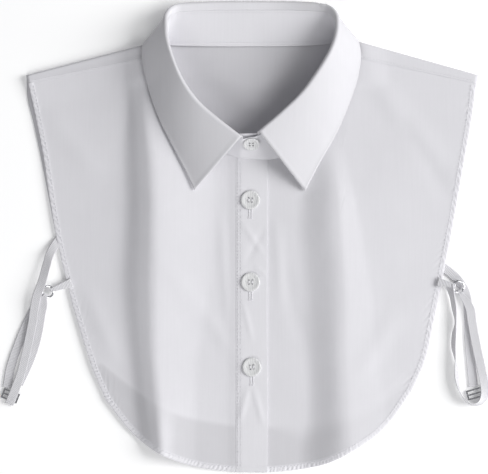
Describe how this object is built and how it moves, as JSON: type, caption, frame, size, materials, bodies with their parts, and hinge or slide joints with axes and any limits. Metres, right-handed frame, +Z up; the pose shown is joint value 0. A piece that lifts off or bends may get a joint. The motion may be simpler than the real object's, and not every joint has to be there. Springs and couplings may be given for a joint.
{
  "type": "detachable shirt collar",
  "caption": "White cotton detachable shirt collar with short front and back panels, laid flat, with a turned-down collar, button band and adjustable side straps.",
  "frame": {"origin": "on the surface it lies on, under the middle of the whole part", "axes": "+X to the viewer's right across the fronts, +Y from the hem toward the neck, +Z up from the surface"},
  "size_m": [0.3904, 0.3768, 0.0329],
  "materials": {
    "cotton": "fine plain weave, matt with a faint sheen",
    "elastic": "ribbed elastic",
    "pearl": "pearl gloss",
    "plated": "plated"
  },
  "bodies": {
    "root": {"back_panel": "cotton", "front_left": "cotton", "front_right": "cotton", "collar_stand": "cotton", "collar_fall": "cotton", "placket_band": "cotton", "button_1": "pearl", "button_2": "pearl", "button_3": "pearl", "collar_button": "pearl", "tab_left": "elastic", "tab_right": "elastic", "strap_left_upper": "elastic", "strap_left_loop": "elastic", "strap_right_upper": "elastic", "strap_right_loop": "elastic", "ring_left": "plated", "ring_right": "plated", "slider_left": "plated", "slider_right": "plated"}
  },
  "joints": []
}
